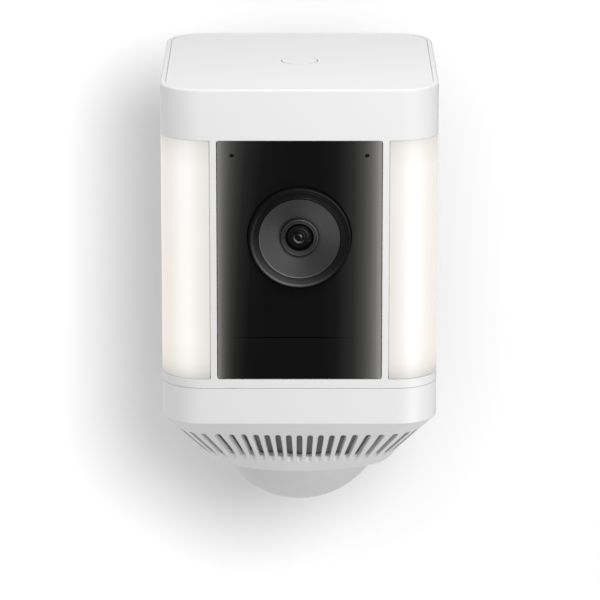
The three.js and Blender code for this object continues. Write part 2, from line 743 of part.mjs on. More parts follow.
// A strip of lamps on an aluminium-backed board, facing out through the case's corner.
function lampBoard(side) {
  let made = solid(new THREE.BoxGeometry(LAMP_BOARD.width, 1, LAMP_BOARD.height));
  const pitch = LAMP_BOARD.height / LAMP_BOARD.lamps;
  for (let i = 0; i < LAMP_BOARD.lamps; i++) {
    const lamp = new THREE.BoxGeometry(2.8, 1, 2.8);
    made = join(made, solid(lamp.translate(0, -0.9, (i - (LAMP_BOARD.lamps - 1) / 2) * pitch)));
  }
  const placed = new THREE.Matrix4()
    .makeTranslation(side * LAMP_BOARD.x, LAMP_BOARD.y, (WINDOW.top + WINDOW.bottom) / 2)
    .multiply(new THREE.Matrix4().makeRotationZ(side * LAMP_BOARD.turn));
  return made.transform(placed.elements);
}

function lampHeatSink(side) {
  const plan = [
    [24, 20],
    [31, 20],
    [38.4, 24.4],
    [38.4, 26.4],
    [30.4, 22],
    [26, 22],
    [26, 48],
    [24, 48],
  ];
  return uprightStrip(side, plan, -92, -20);
}

[-1, 1].forEach((side) => {
  const word = side < 0 ? "left" : "right";
  add(camera, `lamp_reflector_${word}`, lampReflector(side), M.white);
  add(camera, `lamp_board_${word}`, lampBoard(side), M.board);
  add(camera, `lamp_heat_sink_${word}`, lampHeatSink(side), M.metal);
});

// ---------------------------------------------------------------- speaker and motion sensor

const SPEAKER = { y: 22, z: -110, tilt: (35 * PI) / 180 };

// A shape turned about its own axis, then tipped so that it faces the grille.
const speakerPart = (profile) =>
  solid(lathe(profile, 26).rotateX(SPEAKER.tilt).translate(0, SPEAKER.y, SPEAKER.z));

const speakerFrame = () =>
  speakerPart([
    [11.4, 0],
    [13, 0],
    [13, 1.6],
    [9, 5],
    [9, 9],
    [0, 9],
    [0, 4.8],
    [8, 4.8],
    [11.4, 1.4],
  ]);
const speakerCone = () =>
  speakerPart([
    [11, 0.6],
    [10, 0.2],
    [4, 3.4],
    [0, 2.4],
    [0, 3.4],
    [4, 4.4],
    [11, 1.2],
  ]);

// The motion sensor's lens: a thin dome whose neck passes up through the bottom and is held by a flange.
function motionDome() {
  const inner = DOME.radius - DOME.wall;
  const neckEnd = DOME.z - Math.sqrt(DOME.radius ** 2 - DOME.neck ** 2);
  const outerArc = arc(DOME.radius, DOME.z, PI, PI - Math.asin(DOME.neck / DOME.radius), 8);
  const innerNeck = DOME.neck - DOME.wall;
  const innerArc = arc(inner, DOME.z, PI - Math.asin(innerNeck / inner), PI, 4);
  const flangeZ = BODY.bottom + GRILLE_WALL + GAP;
  const profile = [
    ...outerArc,
    [DOME.neck, neckEnd + 0.01],
    [DOME.neck, flangeZ],
    [DOME.flange, flangeZ],
    [DOME.flange, flangeZ + 1.2],
    [innerNeck, flangeZ + 1.2],
    ...innerArc,
  ];
  return turned("z", profile, [0, MID], 36);
}

add(camera, "speaker_frame", speakerFrame(), M.dark);
add(camera, "speaker_cone", speakerCone(), M.rubber);
add(camera, "motion_dome", motionDome(), M.dome);
add(camera, "motion_board", rod("z", 20, -127, -125.6, [0, MID], 32), M.board);
[-1, 1].forEach((side) => {
  const can = join(
    rod("z", 4.1, -131.6, -127.3, [side * 9, MID], 14),
    rod("z", 4.7, -128, -127.3, [side * 9, MID], 14),
  );
  add(camera, `motion_sensor_${side < 0 ? "left" : "right"}`, can, M.metal);
});

// A flat rubber ring behind the joint between the case and the bottom housing.
function bottomSeal() {
  const [from, to] = [BODY.seam - 1.6, BODY.seam + 0.4];
  const outer = prism(caseOutline(WALL + GAP, 1, 5), from, to);
  return cut(outer, prism(caseOutline(WALL + GAP + 1.6, 1, 5), from - 1, to + 1));
}
add(camera, "bottom_seal", bottomSeal(), M.rubber);

// ---------------------------------------------------------------- ball joint

const ballAxis = [0, BALL.z];

// The cup in the back of the case: a spherical seat, a flange on the back and a neck for the collar.
function socketCup() {
  const [back, c] = [BODY.depth, BALL.y];
  const mouth = Math.acos(2 / BALL.seat);
  const seat = arc(BALL.seat, c, PI, mouth, 7);
  const profile = [
    ...seat,
    [17.6, c + 2],
    [17.6, back + 2.3],
    [22, back + 2.3],
    [22, back + GAP],
    [18.5, back + GAP],
    [18.5, c - BALL.seat + 2],
    [15, c - BALL.seat - 1.8],
    [0, c - BALL.seat - 1.8],
  ];
  return turned("y", profile, ballAxis, 36);
}

// The locking collar screws onto the cup's neck and pulls its lip against the liner.
const GRIPS = 12; // finger grooves round the collar

function collarNut() {
  const c = BALL.y;
  const start = Math.acos(2.4 / BALL.seat);
  const seat = arc(BALL.seat, c, start, BALL.lip, 3);
  const lip = seat[seat.length - 1];
  const profile = [
    [17.9, c + 2.3],
    [17.9, c - 4.2],
    [21.4, c - 4.2],
    [21.8, c - 3.6],
    [21.8, c + 4.6],
    [20.4, c + 6.6],
    [17, c + 8],
    [lip[0] + 1, lip[1] + 1.2],
    ...seat.reverse(),
  ];
  const ring = turned("y", profile, ballAxis, 36);
  const grips = Array.from({ length: GRIPS }, (_, i) => {
    const angle = (i * 2 * PI) / GRIPS;
    const at = [22.6 * Math.cos(angle), BALL.z + 22.6 * Math.sin(angle)];
    return rod("y", 1.5, c - 5, c + 4.2, at, 8);
  });
  return cut(ring, ...grips);
}

// A split plastic liner that grips the ball inside the cup.
function ballLiner() {
  const from = (67 * PI) / 180;
  const to = (142 * PI) / 180;
  const outer = arc(BALL.liner, BALL.y, from, to, 5);
  const inner = arc(BALL.radius + GAP, BALL.y, to, from, 5);
  const shell = turned("y", [...outer, ...inner], ballAxis, 24);
  const splits = [0, 1, 2, 3].map((i) => {
    const bar = new THREE.BoxGeometry(40, 14, 1.2).rotateY((i * PI) / 4);
    return solid(bar.translate(0, BALL.y + 4, BALL.z));
  });
  return cut(shell, ...splits);
}

add(camera, "socket_cup", socketCup(), M.white);
add(camera, "collar_nut", collarNut(), M.white);
add(camera, "ball_liner", ballLiner(), M.dark);

// ---------------------------------------------------------------- wall mount

const BALL_Y = BODY_FRONT_Y + BALL.y; // the ball's middle in the part's frame
const PLATE = { radius: 33, thick: 4, holes: 22, hole: 2.4 };
const BOSS = { inner: 13.1, outer: 16, height: 12 };

function wallPlate() {
  const disc = rod("y", PLATE.radius, -PLATE.thick, 0, [0, 0], 44);
  const boss = rod("y", BOSS.outer, -BOSS.height, -PLATE.thick + 1, [0, 0], 32);
  const well = rod("y", BOSS.inner, -30, -PLATE.thick, [0, 0], 32);
  const holes = [0, 1, 2].flatMap((i) => {
    const angle = PI / 2 + (i * 2 * PI) / 3;
    const at = [PLATE.holes * Math.cos(angle), PLATE.holes * Math.sin(angle)];
    const sink = turned("y", [[0, -6], [5.4, -6], [4.8, -4], [2.4, -1.6], [0, -1.6]], at, 14);
    return [rod("y", PLATE.hole, -20, 20, at, 14), sink];
  });
  return cut(join(disc, boss), well, ...holes);
}

// One casting: a flange that turns in the wall plate's boss, a flared stem, and the ball.
function mountArm() {
  const start = PI - Math.asin(4.6 / BALL.radius);
  const ball = arc(BALL.radius, BALL_Y, PI, PI - start, 9);
  const flare = [
    [4.6, BALL_Y + 16],
    [4.9, BALL_Y + 21],
    [5.8, BALL_Y + 26],
    [7.4, BALL_Y + 30.5],
    [8.6, BALL_Y + 33],
  ];
  const profile = [...ball, ...flare, [8.6, -8.9], [12.7, -8.9], [12.7, -4.4], [0, -4.4]];
  return turned("y", profile, [0, 0], 30);
}

// A threaded ring in the boss keeps the arm's flange in.
function armRetainer() {
  const ring = turned("y", [[9, -9.2], [12.8, -9.2], [12.8, -11.8], [9, -11.8]], [0, 0], 32);
  const notches = [0, 1].map((i) => {
    const bar = new THREE.BoxGeometry(40, 1.4, 2).rotateY((i * PI) / 2);
    return solid(bar.translate(0, -11.8, 0));
  });
  return cut(ring, ...notches);
}

// A trim cap that hides the wall screws; the arm comes out through its middle.
function mountCover() {
  const outer = [
    [35, -0.3],
    [35, -5.6],
    [33.6, -9],
    [27, -12.2],
    [18, -14],
    [10.4, -14.8],
  ];
  const inner = [
    [10.4, -12.9],
    [18, -12.2],
    [30.8, -8.8],
    [33.3, -5.4],
    [33.3, -0.3],
  ];
  return turned("y", [...outer, ...inner], [0, 0], 36);
}

add(mount, "wall_plate", wallPlate(), M.metal);
add(mount, "mount_arm", mountArm(), M.white);
add(mount, "arm_retainer", armRetainer(), M.metal);
add(mount, "mount_cover", mountCover(), M.white);

export default model;
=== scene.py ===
import json
import math

import bmesh
import bpy
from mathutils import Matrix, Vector


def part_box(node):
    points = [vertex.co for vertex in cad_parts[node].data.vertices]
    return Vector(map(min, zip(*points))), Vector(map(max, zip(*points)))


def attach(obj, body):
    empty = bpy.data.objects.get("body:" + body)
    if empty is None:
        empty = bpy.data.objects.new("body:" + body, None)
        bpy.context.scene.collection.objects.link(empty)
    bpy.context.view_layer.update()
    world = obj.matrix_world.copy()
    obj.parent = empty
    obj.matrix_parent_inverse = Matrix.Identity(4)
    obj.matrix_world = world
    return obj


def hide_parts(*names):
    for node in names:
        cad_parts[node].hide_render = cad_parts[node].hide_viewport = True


# The looks of a battery spotlight security camera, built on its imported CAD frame. Metres, +Z up; the
# camera's case faces -Y and its wall plate stands in the plane y = 0.
MM = 0.001
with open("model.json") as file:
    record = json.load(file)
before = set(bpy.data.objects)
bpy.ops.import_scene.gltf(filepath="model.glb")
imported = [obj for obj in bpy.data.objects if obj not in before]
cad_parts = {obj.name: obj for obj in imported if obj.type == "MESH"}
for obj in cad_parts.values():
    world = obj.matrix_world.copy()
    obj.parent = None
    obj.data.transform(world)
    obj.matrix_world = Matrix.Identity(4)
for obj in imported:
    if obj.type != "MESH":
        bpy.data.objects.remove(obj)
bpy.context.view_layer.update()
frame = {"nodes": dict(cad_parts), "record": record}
nodes = frame["nodes"]

CASE_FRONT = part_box("front_housing")[0].y
CASE_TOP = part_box("front_housing")[1].z
CASE_MIDDLE_Y = (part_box("bottom_housing")[0].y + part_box("bottom_housing")[1].y) / 2
LENS_Z = (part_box("lens_bezel")[0].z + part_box("lens_bezel")[1].z) / 2

# ------------------------------------------------------------------ camera

VIEW = {
    "distance": 1.3,
    "pitch": math.radians(14.75),
    "lens": 233.9,
    "aim_behind_front": 38 * MM,
    "aim_below_top": 72 * MM,
    "shift_x": 0.0009,
    "shift_y": -0.0379,
}


def make_camera():
    data = bpy.data.cameras.new("studio_camera")
    data.sensor_width = 36
    data.lens = VIEW["lens"]
    data.shift_x = VIEW["shift_x"]
    data.shift_y = VIEW["shift_y"]
    made = bpy.data.objects.new("studio_camera", data)
    bpy.context.scene.collection.objects.link(made)
    aim = Vector((0, CASE_FRONT + VIEW["aim_behind_front"], CASE_TOP - VIEW["aim_below_top"]))
    forward = Vector((0, math.cos(VIEW["pitch"]), -math.sin(VIEW["pitch"])))
    made.location = aim - forward * VIEW["distance"]
    made.rotation_euler = forward.to_track_quat("-Z", "Y").to_euler()
    bpy.context.scene.camera = made
    return made


camera = make_camera()

# ------------------------------------------------------------------ node helpers

# How strongly a sharp edge stands out in Nodes.edge, whose own values are small.
EDGE_GAIN = 4.0


class Nodes:
    """A material's node tree, with a line of code for each node."""

    def __init__(self, name):
        self.material = bpy.data.materials.new(name)
        self.material.use_nodes = True
        self.tree = self.material.node_tree
        self.tree.nodes.clear()
        self.output = self.add("ShaderNodeOutputMaterial")
        self.shader = self.add("ShaderNodeBsdfPrincipled")
        self.link(self.shader, "BSDF", self.output, "Surface")
        self.place = self.add("ShaderNodeTexCoord").outputs["Object"]

    def add(self, kind, **inputs):
        node = self.tree.nodes.new(kind)
        for name, value in inputs.items():
            node.inputs[name.replace("_", " ")].default_value = value
        return node

    def link(self, source, output, target, socket):
        self.tree.links.new(source.outputs[output], target.inputs[socket])

    def noise(self, scale, detail=3.0, where=None):
        node = self.add("ShaderNodeTexNoise", Scale=scale, Detail=detail)
        self.tree.links.new(where or self.place, node.inputs["Vector"])
        return node.outputs["Fac"]

    def math(self, operation, a, b=0.0, clamp=False):
        node = self.tree.nodes.new("ShaderNodeMath")
        node.operation = operation
        node.use_clamp = clamp
        for socket, value in zip(node.inputs, (a, b)):
            if isinstance(value, (int, float)):
                socket.default_value = value
            else:
                self.tree.links.new(value, socket)
        return node.outputs[0]

    def spread(self, value, low, high):
        """value, from 0 to 1, as a number from low to high."""
        return self.math("ADD", self.math("MULTIPLY", value, high - low), low)

    def axis(self, letter):
        node = self.add("ShaderNodeSeparateXYZ")
        self.tree.links.new(self.place, node.inputs[0])
        return node.outputs[letter]

    def ramp(self, value, stops):
        """Colours, or greys, at rising places."""
        node = self.tree.nodes.new("ShaderNodeValToRGB")
        band = node.color_ramp
        while len(band.elements) < len(stops):
            band.elements.new(0.5)
        for element, (place, colour) in zip(band.elements, stops):
            element.position = place
            shade = (colour,) * 3 if isinstance(colour, (int, float)) else colour
            element.color = (*shade, 1)
        self.tree.links.new(value, node.inputs[0])
        return node.outputs["Color"]

    def mix(self, share, a, b):
        node = self.tree.nodes.new("ShaderNodeMix")
        node.data_type = "RGBA"
        sockets = (node.inputs[0], node.inputs[6], node.inputs[7])
        for socket, value in zip(sockets, (share, a, b)):
            if isinstance(value, (int, float)):
                socket.default_value = value
            elif isinstance(value, tuple):
                socket.default_value = (*value, 1)
            else:
                self.tree.links.new(value, socket)
        return node.outputs[2]

    def set(self, socket, value):
        """A number or colour on the shader's own socket, or a link into it."""
        target = self.shader.inputs[socket]
        if isinstance(value, tuple):
            target.default_value = (*value, 1)
        elif isinstance(value, (int, float)):
            target.default_value = value
        else:
            self.tree.links.new(value, target)

    def bump(self, height, strength, distance=0.05 * MM, soften=0.0):
        """Fine relief, on a surface whose edges are softened by the given radius."""
        node = self.add("ShaderNodeBump", Strength=strength, Distance=distance)
        self.tree.links.new(height, node.inputs["Height"])
        self.link(node, "Normal", self.shader, "Normal")
        if soften:
            rounded = self.add("ShaderNodeBevel", Radius=soften)
            rounded.samples = 6
            self.link(rounded, "Normal", node, "Normal")

    def edge(self, radius):
        """Up to 1 on sharp edges and 0 on flat places."""
        rounded = self.add("ShaderNodeBevel", Radius=radius)
        rounded.samples = 4
        flat = self.add("ShaderNodeNewGeometry")
        dot = self.tree.nodes.new("ShaderNodeVectorMath")
        dot.operation = "DOT_PRODUCT"
        self.tree.links.new(rounded.outputs[0], dot.inputs[0])
        self.tree.links.new(flat.outputs["Normal"], dot.inputs[1])
        return self.math("MULTIPLY", self.math("SUBTRACT", 1.0, dot.outputs["Value"]), EDGE_GAIN, clamp=True)


def shade(colour, factor):
    return tuple(min(1.0, c * factor) for c in colour)


# How far the paler edges reach: partly wear, partly a painted highlight.
EDGE_WEAR_AND_HIGHLIGHT = 0.5 * MM


def moulded(name, colour, roughness, grain=0.25, mottle=0.03, wear_and_highlight=0.06, soften=0.0):
    """Moulded plastic: slight colour variation, fine spark-eroded grain, and paler edges, partly wear and
    partly a painted highlight.
    """
    n = Nodes(name)
    tone = n.mix(n.noise(60, 4), shade(colour, 1 - mottle), shade(colour, 1 + mottle))
    # Edges mixed towards white: partly wear, partly a painted highlight along them.
    tone = n.mix(n.math("MULTIPLY", n.edge(EDGE_WEAR_AND_HIGHLIGHT), wear_and_highlight), tone, (1.0, 1.0, 1.0))
    n.set("Base Color", tone)
    n.set("Roughness", n.spread(n.noise(400, 2), roughness - 0.05, roughness + 0.05))
    n.bump(n.noise(5200, 2), grain, soften=soften)
    return n.material


def metal(name, colour, roughness, brush=40.0):
    """Rolled or cast metal, brushed along X."""
    n = Nodes(name)
    stretched = n.add("ShaderNodeMapping", Scale=(brush, 2400.0, 2400.0))
    n.tree.links.new(n.place, stretched.inputs["Vector"])
    lines = n.noise(1.0, 3, stretched.outputs[0])
    n.set("Base Color", n.mix(lines, shade(colour, 0.92), shade(colour, 1.05)))
    n.set("Metallic", 1.0)
    n.set("Roughness", n.spread(lines, roughness - 0.06, roughness + 0.08))
    n.bump(lines, 0.15)
    return n.material


# ------------------------------------------------------------------ materials

WHITE = (0.86, 0.86, 0.858)
# Its paler edges are mostly a painted highlight.
white_plastic = moulded("white_plastic", WHITE, 0.42, 0.2, mottle=0.006, wear_and_highlight=0.1, soften=0.35 * MM)
dark_plastic = moulded("dark_plastic", (0.018, 0.018, 0.019), 0.45, grain=0.3)
battery_plastic = moulded("battery_plastic", (0.03, 0.031, 0.034), 0.5, grain=0.5)
latch_plastic = moulded("latch_plastic", (0.72, 0.2, 0.04), 0.4)
rubber = moulded("rubber", (0.015, 0.015, 0.015), 0.8, grain=0.6, wear_and_highlight=0.02)
reflector_plastic = moulded("reflector_plastic", (0.9, 0.9, 0.89), 0.25, grain=0.05)
light_metal = metal("light_metal", (0.7, 0.71, 0.73), 0.35)
steel = metal("steel", (0.56, 0.56, 0.57), 0.28, brush=200.0)


def dome_plastic():
    """Milky lens plastic: faint cells of the lens moulded on its inside show through."""
    n = Nodes("dome_plastic")
    cells = n.add("ShaderNodeTexVoronoi", Scale=300.0)
    n.tree.links.new(n.place, cells.inputs["Vector"])
    n.set("Base Color", n.mix(cells.outputs["Distance"], (0.76, 0.76, 0.758), (0.78, 0.78, 0.778)))
    n.set("Roughness", n.spread(n.noise(300, 2), 0.42, 0.5))
    n.set("Specular IOR Level", 0.3)
    n.bump(n.noise(4000, 2), 0.06)
    return n.material


# How brightly the lamps light the black face, by millimetres from its left and right edges.
BLEED_LEFT = [
    (0.0, 0.22), (1.1, 0.155), (2.1, 0.1), (3.4, 0.06), (5.3, 0.03), (7.8, 0.012), (12.5, 0.002),
]
BLEED_RIGHT = [
    (0.0, 0.29), (1.0, 0.235), (2.0, 0.16), (3.6, 0.1), (5.8, 0.053), (9.0, 0.02), (14.5, 0.003),
]
BLEED_REACH = 20 * MM
BLEED_TINT = (1.0, 0.985, 0.95)
# How the left bleed narrows from the top of the face (first) to the infrared window (second).
BLEED_NARROWS = (0.8, 1.45)


def face_plastic():
    """Glossy black plastic, with the lamps' light bleeding into it from its left and right edges."""
    n = Nodes("face_plastic")
    low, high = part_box("face_panel")
    width = high.x - low.x
    window_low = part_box("infrared_window")[0].z
    down = n.math("DIVIDE", n.math("SUBTRACT", high.z, n.axis("Z")), high.z - window_low, clamp=True)
    from_left = n.math("SUBTRACT", n.axis("X"), low.x)
    from_left = n.math("MULTIPLY", from_left, n.spread(down, *BLEED_NARROWS))
    from_right = n.math("SUBTRACT", high.x, n.axis("X"))
    sides = []
    for distance, bleed in ((from_left, BLEED_LEFT), (from_right, BLEED_RIGHT)):
        stops = [(mm * MM / width, tuple(level * c for c in BLEED_TINT)) for mm, level in bleed]
        stops.append((BLEED_REACH / width, (0.0, 0.0, 0.0)))
        sides.append(n.ramp(n.math("DIVIDE", distance, width, clamp=True), stops))
    both = n.tree.nodes.new("ShaderNodeMix")
    both.data_type = "RGBA"
    both.blend_type = "ADD"
    both.inputs[0].default_value = 1.0
    n.tree.links.new(sides[0], both.inputs[6])
    n.tree.links.new(sides[1], both.inputs[7])
    n.set("Base Color", n.mix(n.noise(80, 3), (0.0035, 0.0035, 0.0036), (0.0045, 0.0045, 0.0046)))
    n.set("Emission Color", both.outputs[2])
    n.set("Emission Strength", 1.0)
    n.set("Specular IOR Level", 0.08)
    n.set("Roughness", n.spread(n.noise(500, 2), 0.12, 0.2))
    n.bump(n.noise(3000, 2), 0.03)
    return n.material


# The lamp's brightness from its inner edge (0) to its outer edge (1), with the light's tint there.
LAMP_GLOW = [
    (0.0, 0.72, (1.0, 0.965, 0.93)),
    (0.1, 0.77, (1.0, 0.965, 0.93)),
    (0.25, 0.87, (1.0, 0.975, 0.95)),
    (0.42, 1.0, (1.0, 0.99, 0.98)),
    (0.58, 0.99, (1.0, 0.985, 0.96)),
    (0.74, 0.91, (1.0, 0.955, 0.9)),
    (0.9, 0.86, (1.0, 0.94, 0.88)),
    (1.0, 0.84, (1.0, 0.945, 0.89)),
]
LAMP_STRENGTH = 0.72
LAMP_TOP_REACH = 9 * MM
LAMP_BOTTOM_REACH = 11 * MM
# Brightness over those reaches, from the lamp's end inwards.
LAMP_TOP_FADE = [(0.0, 0.78), (0.3, 0.88), (1.0, 1.0)]
LAMP_BOTTOM_FADE = [(0.0, 0.6), (0.25, 0.82), (0.5, 0.94), (1.0, 1.0)]


def lamp_plastic():
    """Opal diffuser, lit by the strip of lamps behind it: a bright core and creamier, dimmer edges."""
    n = Nodes("lamp_plastic")
    low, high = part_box("lamp_diffuser_right")
    from_middle = n.math("ABSOLUTE", n.axis("X"))
    across = n.math("DIVIDE", n.math("SUBTRACT", from_middle, low.x), high.x - low.x)
    glow = n.ramp(across, [(place, tuple(level * c for c in tint)) for place, level, tint in LAMP_GLOW])
    above = n.math("DIVIDE", n.math("SUBTRACT", high.z, n.axis("Z")), LAMP_TOP_REACH, clamp=True)
    below = n.math("DIVIDE", n.math("SUBTRACT", n.axis("Z"), low.z), LAMP_BOTTOM_REACH, clamp=True)
    fade = n.math("MULTIPLY", n.ramp(above, LAMP_TOP_FADE), n.ramp(below, LAMP_BOTTOM_FADE))
    n.set("Emission Color", glow)
    n.set("Emission Strength", n.math("MULTIPLY", fade, LAMP_STRENGTH))
    n.set("Base Color", n.mix(n.noise(90, 3), (0.3, 0.29, 0.275), (0.33, 0.32, 0.3)))
    n.set("Specular IOR Level", 0.25)
    n.set("Roughness", n.spread(n.noise(400, 2), 0.4, 0.5))
    n.bump(n.noise(3600, 2), 0.1)
    return n.material


def board_mask():
    """Green solder mask with paler tracks."""
    n = Nodes("board_mask")
    tracks = n.add("ShaderNodeTexBrick", Scale=180.0, Mortar_Size=0.03)
    n.tree.links.new(n.place, tracks.inputs["Vector"])
    n.set("Base Color", n.mix(tracks.outputs["Fac"], (0.012, 0.085, 0.035), (0.03, 0.16, 0.07)))
    n.set("Roughness", n.spread(n.noise(500, 2), 0.3, 0.45))
    n.bump(tracks.outputs["Fac"], 0.2)
    return n.material


def acoustic_cloth():
    """Fine grey mesh behind the grille."""
    n = Nodes("acoustic_cloth")
    weave = n.add("ShaderNodeTexChecker", Scale=2600.0)
    n.tree.links.new(n.place, weave.inputs["Vector"])
    tone = n.mix(n.noise(200, 3), (0.3, 0.3, 0.3), (0.33, 0.33, 0.33))
    n.set("Base Color", n.mix(n.math("MULTIPLY", weave.outputs["Fac"], 0.3), tone, (0.2, 0.2, 0.2)))
    n.set("Roughness", n.spread(n.noise(900, 2), 0.75, 0.9))
    n.bump(weave.outputs["Fac"], 0.3)
    return n.material


# Fine rings of light round the lens's axis, as [millimetres from the axis, albedo]: those that face the
# lower left, and those that face the upper right.
GLASS_LOW = [(0.0, 0.0), (1.4, 0.0), (1.6, 0.26), (1.85, 0.26), (2.1, 0.0), (5.0, 0.0)]
GLASS_HIGH = [
    (0.0, 0.02), (0.35, 0.02), (0.55, 0.3), (0.8, 0.2), (1.0, 0.0), (1.5, 0.0), (1.7, 0.12), (1.9, 0.0),
    (2.6, 0.01), (2.8, 0.07), (3.0, 0.01), (5.0, 0.0),
]
BARREL_LOW = [
    (0.0, 0.0), (4.6, 0.0), (4.8, 0.03), (5.2, 0.02), (5.5, 0.03), (5.8, 0.04), (6.1, 0.0), (7.0, 0.0),
]
BARREL_HIGH = [
    (0.0, 0.0), (5.2, 0.02), (5.4, 0.05), (5.55, 0.02), (5.7, 0.04), (5.9, 0.14), (6.1, 0.0), (7.0, 0.0),
]
BEZEL_LOW = [
    (0.0, 0.0), (13.3, 0.02), (13.6, 0.045), (15.0, 0.05), (15.2, 0.13), (15.6, 0.13), (15.85, 0.03),
    (16.4, 0.0), (19.0, 0.0),
]
BEZEL_HIGH = [(0.0, 0.0), (13.2, 0.01), (14.5, 0.008), (16.1, 0.0), (16.3, 0.04), (16.5, 0.0), (19.0, 0.0)]
DISH_LOW = [(0.0, 0.0), (12.6, 0.0), (12.8, 0.09), (13.1, 0.09), (13.3, 0.0), (14.0, 0.0)]
LOWER_LEFT = 243
UPPER_RIGHT = 42


ARC_SHARPNESS = 5.0


def round_lens(n):
    """The distance from the lens's axis, and the angle round it."""
    across = n.axis("X")
    up = n.math("SUBTRACT", n.axis("Z"), LENS_Z)
    square = n.math("ADD", n.math("MULTIPLY", across, across), n.math("MULTIPLY", up, up))
    return n.math("SQRT", square), n.math("ARCTAN2", up, across)


def facing(n, angle, direction):
    """1 on the side of the lens that lies in a direction, given in degrees, and 0 well away from it."""
    away = n.math("SUBTRACT", angle, math.radians(direction))
    return n.math("POWER", n.spread(n.math("COSINE", away), 0.5, 1.0), ARC_SHARPNESS)


def ring_light(n, rings, direction):
    """The light from rings that face one way, given in degrees."""
    radius, angle = round_lens(n)
    reach = rings[-1][0]
    share = n.math("DIVIDE", radius, reach * MM, clamp=True)
    ring = n.ramp(share, [(mm / reach, level) for mm, level in rings])
    return n.math("MULTIPLY", ring, facing(n, angle, direction))


def ringed(name, colour, low, high, roughness, level):
    """Black glass or plastic with fine rings of light round the lens's axis."""
    n = Nodes(name)
    black = n.mix(n.noise(150, 2), shade(colour, 0.85), shade(colour, 1.15))
    light = n.math("ADD", ring_light(n, low, LOWER_LEFT), ring_light(n, high, UPPER_RIGHT))
    n.set("Base Color", n.mix(light, black, (1.0, 1.0, 1.0)))
    n.set("Specular IOR Level", level)
    n.set("Roughness", n.spread(n.noise(600, 2), roughness - 0.03, roughness + 0.03))
    n.bump(n.noise(2000, 1), 0.01)
    return n.material


# The painted sheen's brighter fans point this many degrees round from +X towards +Z, and the opposite way.
DISH_FAN = 38
DISH_LINE_PITCH = 0.55 * MM


def dish_plastic():
    """Satin black plastic, turned: a painted sheen in two brighter fans, to the upper right and lower left.
    """
    n = Nodes("dish_plastic")
    radius, angle = round_lens(n)
    # A painted sheen, brighter in two opposite fans.
    sheen = n.math("COSINE", n.math("MULTIPLY", n.math("SUBTRACT", angle, math.radians(DISH_FAN)), 2.0))
    lines = n.math("SINE", n.math("MULTIPLY", radius, 2 * math.pi / DISH_LINE_PITCH))
    share = n.math("ADD", n.spread(sheen, 0.42, 0.84), n.math("MULTIPLY", lines, 0.15))
    lines_and_painted_sheen = n.mix(share, (0.016, 0.016, 0.0165), (0.066, 0.066, 0.067))
    # The rim's ring of light to the lower left is a painted highlight.
    n.set("Base Color", n.mix(ring_light(n, DISH_LOW, LOWER_LEFT), lines_and_painted_sheen, (1.0, 1.0, 1.0)))
    n.set("Specular IOR Level", 0.4)
    n.set("Roughness", n.spread(n.noise(500, 2), 0.46, 0.54))
    n.bump(n.noise(2500, 2), 0.05)
    return n.material


SLOT_MATERIALS = {
    "case": white_plastic,
    "cloth": acoustic_cloth(),
    "face": face_plastic(),
    "lens_trim": dish_plastic(),
    "dark_plastic": dark_plastic,
    # The glass's fine rings of light are painted highlights in its colour.
    "lens_glass": ringed("lens_glass_painted_rings", (0.005, 0.005, 0.006), GLASS_LOW, GLASS_HIGH, 0.12, 0.12),
    "lamp": lamp_plastic(),
    "reflector": reflector_plastic,
    "board": board_mask(),
    "light_metal": light_metal,
    "steel": steel,
    "dome": dome_plastic(),
    "battery": battery_plastic,
    "latch": latch_plastic,
    "rubber": rubber,
}

# ------------------------------------------------------------------ CAD nodes

SMOOTH_UP_TO = math.cos(math.radians(28))
SAME_PLACE = 0.002 * MM
SAME_PLANE = 0.02 * MM


def smooth(mesh):
    """Shades smooth up to an angle. Each face counts by the area of its whole flat, squared, so that a
    large flat bends little where a curve runs into it."""
    flats = []
    flat_areas = {}
    faces_at = {}
    places = [tuple(round(c / SAME_PLACE) for c in vertex.co) for vertex in mesh.vertices]
    for face in mesh.polygons:
        height = round(face.normal.dot(face.center) / SAME_PLANE)
        flat = (*(round(c, 3) for c in face.normal), height)
        flats.append(flat)
        flat_areas[flat] = flat_areas.get(flat, 0.0) + face.area / MM ** 2
        for vertex in face.vertices:
            faces_at.setdefault(places[vertex], []).append(face)
    normals = []
    for face in mesh.polygons:
        for vertex in face.vertices:
            total = Vector()
            for other in faces_at[places[vertex]]:
                if other.normal.dot(face.normal) > SMOOTH_UP_TO:
                    total += other.normal * flat_areas[flats[other.index]] ** 2
            normals.append(total.normalized() if total.length > 0 else face.normal.copy())
    mesh.shade_smooth()
    mesh.normals_split_custom_set(normals)


def dress_nodes():
    slots = {s["node"]: s["material_slot"] for s in frame["record"]["subparts"]}
    for name, node in nodes.items():
        node.data.materials.clear()
        node.data.materials.append(SLOT_MATERIALS[slots[name]])
        smooth(node.data)


dress_nodes()

# ------------------------------------------------------------------ fine turned pieces

# Profiles are [radius, distance behind the case's front face], from the back edge round to the middle.
BEZEL = [
    (19.4, 4.6), (19.4, 2.8), (16.75, 2.8), (16.75, 0.2), (16.7, -0.3), (16.5, -1.0), (16.1, -1.6),
    (15.8, -1.95), (15.6, -2.1), (15.4, -2.1), (15.05, -1.85), (14.8, -1.8), (14.1, -1.7), (13.8, -1.65),
    (13.6, -1.8), (13.5, -1.8), (13.25, -1.5), (13.25, 4.6), (19.4, 4.6),
]
